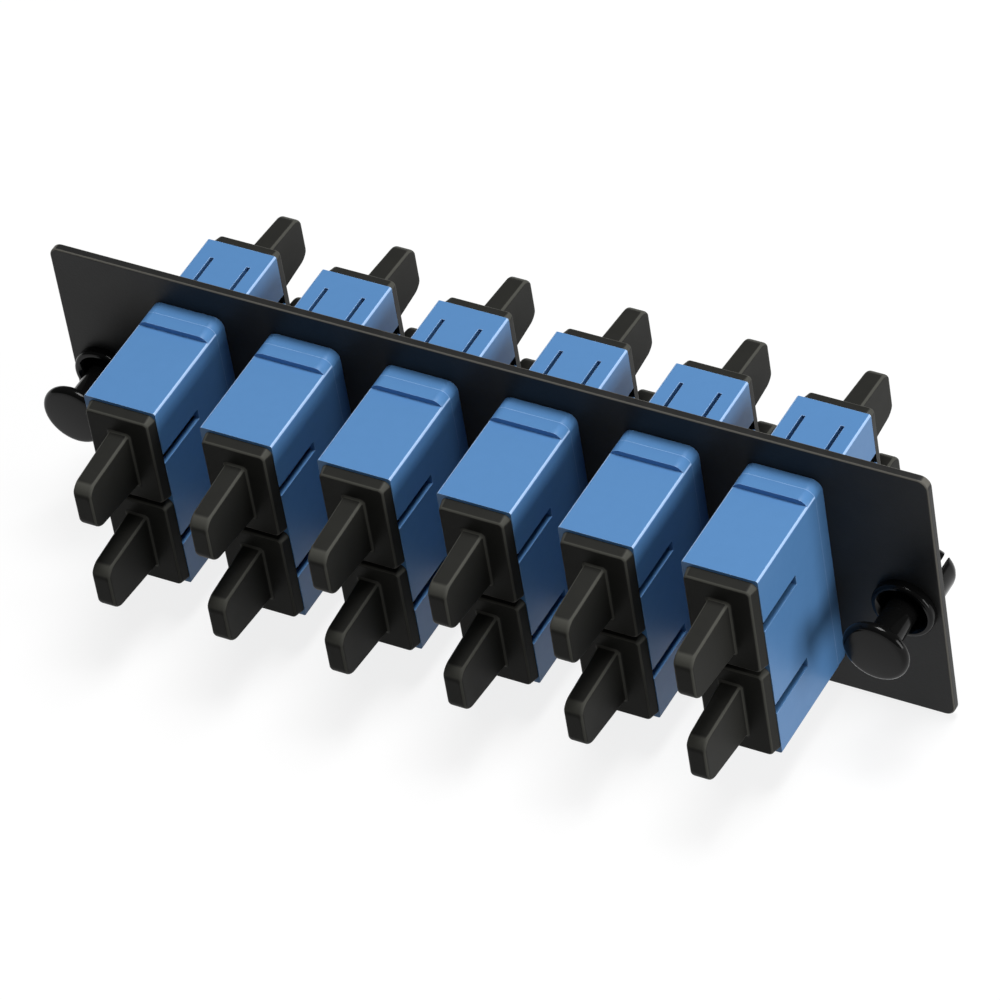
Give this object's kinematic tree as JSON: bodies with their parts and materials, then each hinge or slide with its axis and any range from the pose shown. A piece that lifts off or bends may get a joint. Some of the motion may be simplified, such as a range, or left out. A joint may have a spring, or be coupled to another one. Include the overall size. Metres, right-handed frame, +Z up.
{
  "type": "fibre adapter plate",
  "caption": "Black steel adapter plate carrying a row of upright blue duplex fibre adapters with pull-off dust caps front and rear and a push-in latch at each end.",
  "frame": {"origin": "centre of the plate's rear face, which seats on the enclosure", "axes": "+X along the plate, +Y out of its rear face into the enclosure, +Z up, with the adapters upright; the user's side is -Y"},
  "size_m": [0.111, 0.0489, 0.036],
  "materials": {
    "powder_coated_steel": "fine satin black powder coat on steel sheet",
    "blue_housing_plastic": "moulded blue thermoplastic, satin",
    "insert_plastic": "natural off-white moulded thermoplastic",
    "zirconia_ceramic": "ground white zirconia",
    "black_cap_plastic": "soft moulded black thermoplastic, matt",
    "black_nylon": "moulded black nylon, semi-gloss"
  },
  "bodies": {
    "panel": {"plate": "powder_coated_steel", "adapter_1_front_housing": "blue_housing_plastic", "adapter_1_rear_housing": "blue_housing_plastic", "adapter_1_front_inserts": "insert_plastic", "adapter_1_rear_inserts": "insert_plastic", "adapter_1_sleeves": "zirconia_ceramic", "adapter_2_front_housing": "blue_housing_plastic", "adapter_2_rear_housing": "blue_housing_plastic", "adapter_2_front_inserts": "insert_plastic", "adapter_2_rear_inserts": "insert_plastic", "adapter_2_sleeves": "zirconia_ceramic", "adapter_3_front_housing": "blue_housing_plastic", "adapter_3_rear_housing": "blue_housing_plastic", "adapter_3_front_inserts": "insert_plastic", "adapter_3_rear_inserts": "insert_plastic", "adapter_3_sleeves": "zirconia_ceramic", "adapter_4_front_housing": "blue_housing_plastic", "adapter_4_rear_housing": "blue_housing_plastic", "adapter_4_front_inserts": "insert_plastic", "adapter_4_rear_inserts": "insert_plastic", "adapter_4_sleeves": "zirconia_ceramic", "adapter_5_front_housing": "blue_housing_plastic", "adapter_5_rear_housing": "blue_housing_plastic", "adapter_5_front_inserts": "insert_plastic", "adapter_5_rear_inserts": "insert_plastic", "adapter_5_sleeves": "zirconia_ceramic", "adapter_6_front_housing": "blue_housing_plastic", "adapter_6_rear_housing": "blue_housing_plastic", "adapter_6_front_inserts": "insert_plastic", "adapter_6_rear_inserts": "insert_plastic", "adapter_6_sleeves": "zirconia_ceramic", "latch_left_grommet": "black_nylon", "latch_right_grommet": "black_nylon"},
    "front_cap_1_upper": {"front_cap_1_upper": "black_cap_plastic"},
    "front_cap_1_lower": {"front_cap_1_lower": "black_cap_plastic"},
    "rear_cap_1_upper": {"rear_cap_1_upper": "black_cap_plastic"},
    "rear_cap_1_lower": {"rear_cap_1_lower": "black_cap_plastic"},
    "front_cap_2_upper": {"front_cap_2_upper": "black_cap_plastic"},
    "front_cap_2_lower": {"front_cap_2_lower": "black_cap_plastic"},
    "rear_cap_2_upper": {"rear_cap_2_upper": "black_cap_plastic"},
    "rear_cap_2_lower": {"rear_cap_2_lower": "black_cap_plastic"},
    "front_cap_3_upper": {"front_cap_3_upper": "black_cap_plastic"},
    "front_cap_3_lower": {"front_cap_3_lower": "black_cap_plastic"},
    "rear_cap_3_upper": {"rear_cap_3_upper": "black_cap_plastic"},
    "rear_cap_3_lower": {"rear_cap_3_lower": "black_cap_plastic"},
    "front_cap_4_upper": {"front_cap_4_upper": "black_cap_plastic"},
    "front_cap_4_lower": {"front_cap_4_lower": "black_cap_plastic"},
    "rear_cap_4_upper": {"rear_cap_4_upper": "black_cap_plastic"},
    "rear_cap_4_lower": {"rear_cap_4_lower": "black_cap_plastic"},
    "front_cap_5_upper": {"front_cap_5_upper": "black_cap_plastic"},
    "front_cap_5_lower": {"front_cap_5_lower": "black_cap_plastic"},
    "rear_cap_5_upper": {"rear_cap_5_upper": "black_cap_plastic"},
    "rear_cap_5_lower": {"rear_cap_5_lower": "black_cap_plastic"},
    "front_cap_6_upper": {"front_cap_6_upper": "black_cap_plastic"},
    "front_cap_6_lower": {"front_cap_6_lower": "black_cap_plastic"},
    "rear_cap_6_upper": {"rear_cap_6_upper": "black_cap_plastic"},
    "rear_cap_6_lower": {"rear_cap_6_lower": "black_cap_plastic"},
    "latch_left_plunger": {"latch_left_plunger": "black_nylon"},
    "latch_right_plunger": {"latch_right_plunger": "black_nylon"}
  },
  "joints": [
    {"name": "front_cap_1_upper_pull", "type": "slide", "parent": "panel", "child": "front_cap_1_upper", "axis": [0, -1, 0], "range_m": [0, 0.011]},
    {"name": "front_cap_1_lower_pull", "type": "slide", "parent": "panel", "child": "front_cap_1_lower", "axis": [0, -1, 0], "range_m": [0, 0.011]},
    {"name": "rear_cap_1_upper_pull", "type": "slide", "parent": "panel", "child": "rear_cap_1_upper", "axis": [0, 1, 0], "range_m": [0, 0.011]},
    {"name": "rear_cap_1_lower_pull", "type": "slide", "parent": "panel", "child": "rear_cap_1_lower", "axis": [0, 1, 0], "range_m": [0, 0.011]},
    {"name": "front_cap_2_upper_pull", "type": "slide", "parent": "panel", "child": "front_cap_2_upper", "axis": [0, -1, 0], "range_m": [0, 0.011]},
    {"name": "front_cap_2_lower_pull", "type": "slide", "parent": "panel", "child": "front_cap_2_lower", "axis": [0, -1, 0], "range_m": [0, 0.011]},
    {"name": "rear_cap_2_upper_pull", "type": "slide", "parent": "panel", "child": "rear_cap_2_upper", "axis": [0, 1, 0], "range_m": [0, 0.011]},
    {"name": "rear_cap_2_lower_pull", "type": "slide", "parent": "panel", "child": "rear_cap_2_lower", "axis": [0, 1, 0], "range_m": [0, 0.011]},
    {"name": "front_cap_3_upper_pull", "type": "slide", "parent": "panel", "child": "front_cap_3_upper", "axis": [0, -1, 0], "range_m": [0, 0.011]},
    {"name": "front_cap_3_lower_pull", "type": "slide", "parent": "panel", "child": "front_cap_3_lower", "axis": [0, -1, 0], "range_m": [0, 0.011]},
    {"name": "rear_cap_3_upper_pull", "type": "slide", "parent": "panel", "child": "rear_cap_3_upper", "axis": [0, 1, 0], "range_m": [0, 0.011]},
    {"name": "rear_cap_3_lower_pull", "type": "slide", "parent": "panel", "child": "rear_cap_3_lower", "axis": [0, 1, 0], "range_m": [0, 0.011]},
    {"name": "front_cap_4_upper_pull", "type": "slide", "parent": "panel", "child": "front_cap_4_upper", "axis": [0, -1, 0], "range_m": [0, 0.011]},
    {"name": "front_cap_4_lower_pull", "type": "slide", "parent": "panel", "child": "front_cap_4_lower", "axis": [0, -1, 0], "range_m": [0, 0.011]},
    {"name": "rear_cap_4_upper_pull", "type": "slide", "parent": "panel", "child": "rear_cap_4_upper", "axis": [0, 1, 0], "range_m": [0, 0.011]},
    {"name": "rear_cap_4_lower_pull", "type": "slide", "parent": "panel", "child": "rear_cap_4_lower", "axis": [0, 1, 0], "range_m": [0, 0.011]},
    {"name": "front_cap_5_upper_pull", "type": "slide", "parent": "panel", "child": "front_cap_5_upper", "axis": [0, -1, 0], "range_m": [0, 0.011]},
    {"name": "front_cap_5_lower_pull", "type": "slide", "parent": "panel", "child": "front_cap_5_lower", "axis": [0, -1, 0], "range_m": [0, 0.011]},
    {"name": "rear_cap_5_upper_pull", "type": "slide", "parent": "panel", "child": "rear_cap_5_upper", "axis": [0, 1, 0], "range_m": [0, 0.011]},
    {"name": "rear_cap_5_lower_pull", "type": "slide", "parent": "panel", "child": "rear_cap_5_lower", "axis": [0, 1, 0], "range_m": [0, 0.011]},
    {"name": "front_cap_6_upper_pull", "type": "slide", "parent": "panel", "child": "front_cap_6_upper", "axis": [0, -1, 0], "range_m": [0, 0.011]},
    {"name": "front_cap_6_lower_pull", "type": "slide", "parent": "panel", "child": "front_cap_6_lower", "axis": [0, -1, 0], "range_m": [0, 0.011]},
    {"name": "rear_cap_6_upper_pull", "type": "slide", "parent": "panel", "child": "rear_cap_6_upper", "axis": [0, 1, 0], "range_m": [0, 0.011]},
    {"name": "rear_cap_6_lower_pull", "type": "slide", "parent": "panel", "child": "rear_cap_6_lower", "axis": [0, 1, 0], "range_m": [0, 0.011]},
    {"name": "latch_left_push", "type": "slide", "parent": "panel", "child": "latch_left_plunger", "axis": [0, 1, 0], "range_m": [0, 0.005]},
    {"name": "latch_right_push", "type": "slide", "parent": "panel", "child": "latch_right_plunger", "axis": [0, 1, 0], "range_m": [0, 0.005]}
  ]
}
